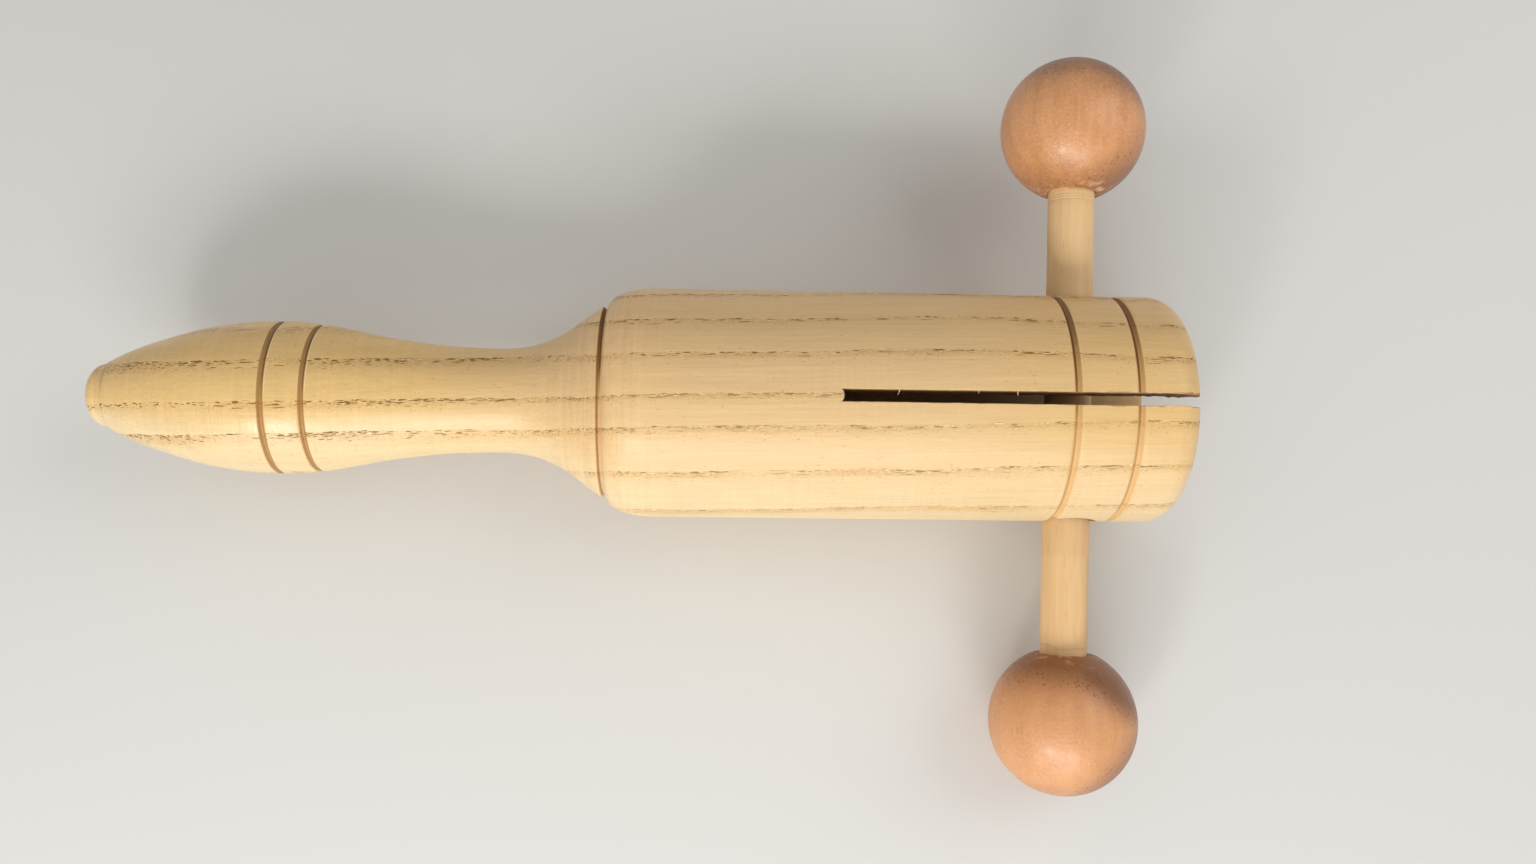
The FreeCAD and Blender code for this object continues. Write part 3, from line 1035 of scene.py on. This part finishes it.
def bead_material(name, line, pebbled):
    """Close-grained orange-tan wood under a more or less pebbled lacquer, worn pale at the chipped rim."""
    s = Shader(name, bead_tones)
    place, along, _, grain = rod_lines(s, line["axis"])
    fibre = s.grain(grain, *bead_noise["fibre"])
    bands = s.grain(grain, *bead_noise["bands"])
    mottle = s.grain(place, *bead_noise["mottle"])
    pebbles = s.grain(place, *bead_noise["pebbles"])
    rings = s.cloud(s.join(s.times(along, 2.4), 0.0, s.times(mottle, 1.5)), 2.0)
    patchy = s.step(s.grain(place, *bead_noise["patchy"]), 0.4, 0.6, 0.35, 1.0)
    flecks = s.spots(place, s.times(patchy, 0.55), *bead_spots["flecks"])
    lights = s.spots(s.vector("ADD", place, (5.3, 2.9, 7.7)), 0.3, *bead_spots["lights"])
    end_grain_and_shade = s.add("ShaderNodeAttribute", attribute_name="end_grain_and_shade").outputs["Fac"]
    bare = s.add("ShaderNodeAttribute", attribute_name="bare").outputs["Fac"]

    banded = s.times(s.step(bands, 0.34, 0.66), 0.3 + 0.9 * pebbled)
    wood = s.mix(banded, s.tones["band"], s.tones["other_band"])
    wood = s.paint(wood, "mottle", s.times(s.step(mottle, 0.35, 0.7), 0.5))
    wood = s.vary(wood, fibre, 0.12, 0.94)
    wood = s.shade(wood, s.plus(s.times(s.plus(pebbles, -0.5), s.times(patchy, pebbled)), 1.0))
    wood = s.vary(wood, rings, 0.07, 0.965)
    wood = s.paint(wood, "flecks", s.times(flecks, 0.2 + 0.22 * pebbled))
    wood = s.paint(wood, "lights", s.times(lights, 0.2 + 0.22 * pebbled))
    # End-grain stain and painted shade: darkest towards the ends along the rod, with painted shade on the
    # side towards the mouth
    wood = s.paint(wood, "end_grain_and_shade", s.step(s.times(end_grain_and_shade, end_grain_and_shade), 0.1, 1.5))
    grime = s.times(s.spots(place, 0.6, *bead_spots["grime"]), s.step(end_grain_and_shade, 0.7, 0.9))
    wood = s.paint(wood, "grime", s.times(grime, 0.5))
    wood = s.paint(wood, "bare", s.times(bare, 0.5 + 0.4 * pebbled))

    gloss = s.plus(s.times(s.grain(place, *bead_noise["gloss"]), 0.18), 0.37 - 0.16 * pebbled)
    gloss = s.plus(gloss, s.times(bare, 0.3))
    height = s.plus(s.times(flecks, -0.012), s.times(pebbles, 0.03 + 0.12 * pebbled))
    height = s.plus(height, s.times(s.grain(place, *bead_noise["uneven"]), 0.05))
    s.set(Base_Color=wood, Roughness=gloss, Normal=s.bump(height), Coat_Weight=0.15, Coat_Roughness=0.15)
    return s.material


def floor_material():
    s = Shader("floor_pale", {"floor": floor_colour})
    s.set(Base_Color=s.tones["floor"], Roughness=floor_roughness)
    return s.material


def set_stage():
    """Floor, fill, lamps and camera."""
    lowest = cad_bounds[0].z / MM
    corners = [(x * floor_reach, y * floor_reach, lowest) for x, y in ((-1, -1), (1, -1), (1, 1), (-1, 1))]
    floor = new_object("floor", corners, [(0, 1, 2, 3)], floor_material())

    world = bpy.data.worlds.new("fill")
    world.use_nodes = True
    background = world.node_tree.nodes["Background"]
    background.inputs["Color"].default_value = fill_tint
    background.inputs["Strength"].default_value = fill_strength
    bpy.context.scene.world = world

    for name, place, size, watts, tint in lamps:
        lamp = bpy.data.lights.new(name, "AREA")
        lamp.shape = "RECTANGLE"
        lamp.size, lamp.size_y = size[0] * MM, size[1] * MM
        lamp.energy, lamp.color = watts, tint
        holder = bpy.data.objects.new(name, lamp)
        holder.location = Vector(place) * MM
        holder.rotation_euler = Vector(place).to_track_quat("Z", "Y").to_euler()
        bpy.context.scene.collection.objects.link(holder)

    lens = bpy.data.cameras.new("camera")
    lens.sensor_width = sensor_width
    lens.lens = camera_lens_px / photo_width_px * sensor_width
    lens.clip_start = camera_nearest * MM
    camera = bpy.data.objects.new("camera", lens)
    camera.location = Vector(camera_place) * MM
    camera.rotation_euler = camera_turn
    bpy.context.scene.collection.objects.link(camera)
    bpy.context.scene.camera = camera
    bpy.context.scene.view_settings.view_transform = "Standard"


def openings(wall_radius):
    """The saw cut and the rod's holes as the node has them, from their edges in the chamber's wall."""
    points = node_points("turned_body")
    axis = frame["joints"][0]["axis"]
    side = np.array((0, axis[1], axis[2])) / math.hypot(axis[1], axis[2])
    up = np.array((0, -side[2], side[1]))
    places, aside = points[:, 0], np.abs(points @ side)
    on_wall = (places > 0) & (np.abs(np.hypot(points[:, 1], points[:, 2]) - wall_radius) < same_place)
    ends = places[on_wall].min(), places[on_wall].max()
    edges = on_wall & (places > ends[0] + clear_of_part) & (places < ends[1] - clear_of_part)
    kerf, rim = edges & (aside < wall_radius / 2), edges & (aside > wall_radius / 2)
    slot = {"start": places[kerf].min(), "half": aside[kerf].max(), "side": side, "up": up}
    low, high = places[rim].min(), places[rim].max()
    hole = {"x": (low + high) / 2, "radius": (high - low) / 2, "side": side, "up": up}
    return slot, hole


def turned_marks(outside, chamber):
    """Where the body's outline has its grooves, each a middle and half a width, and the painted shade line
    past its nose ridge.
    """
    places = np.arange(outside[0, 0], outside[-1, 0], groove_search_step)
    radii = np.interp(places, *outside.T)
    window = round(groove_reach / groove_search_step)
    before = np.array([radii[max(0, i - window): i + 1].max() for i in range(len(radii))])
    after = np.array([radii[i: i + window + 1].max() for i in range(len(radii))])
    dips = np.minimum(before, after) - radii
    edges = np.flatnonzero(np.diff((dips > groove_edge_depth).astype(int)))
    found = []
    for start, end in zip(edges[::2], edges[1::2]):
        if dips[start: end + 1].max() > groove_least_depth:
            found.append(((places[start] + places[end]) / 2, (places[end] - places[start]) / 2))
    ridge = 0.0
    for before, here, after in zip(outside, outside[1:], outside[2:]):
        if turn_at(before, here, after) > math.radians(corner_turn_degrees):
            ridge = here[0]
            break
    on_handle = [groove for groove in found if groove[0] < 0]
    return {
        "handle_grooves": on_handle[:-1],
        "neck_groove": on_handle[-1:],
        "head_grooves": [groove for groove in found if groove[0] > 0],
        "neck": on_handle[-1][0],
        "ridge": ridge + ridge_shade_offset,
        "wall": chamber[1][1],
        "head": outside[:, 1].max(),
    }


set_stage()
outside, chamber = body_outline()
slot, hole = openings(chamber[1][1])
line = {"axis": Vector(frame["joints"][0]["axis"]).normalized(), "point": np.array((hole["x"], 0, 0))}
marks = turned_marks(outside, chamber)
skin_wood = ash("ash_lacquered", marks, False)
bare_wood = ash("ash_bare", marks, True)
dowel = dowel_material(line)
beads = [bead_material(bead, line, pebbled) for _, bead, pebbled, _, _ in balls]
pieces = [
    (turned_body(outside, chamber, skin_wood, bare_wood, slot, hole), "turned_body", "body", "body_ash"),
    (rod("beater_rod_dowel", "beater_rod", line, dowel), "beater_rod", "beater", "rod_dowel"),
]
for (node, _, _, seed, stains_and_shade), bead in zip(balls, beads):
    pieces.append((ball(f"{node}_bead", node, line, bead, seed, stains_and_shade), node, "beater", "ball_wood"))
for piece, node, body, slot_name in pieces:
    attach(piece, body)
    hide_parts(node)
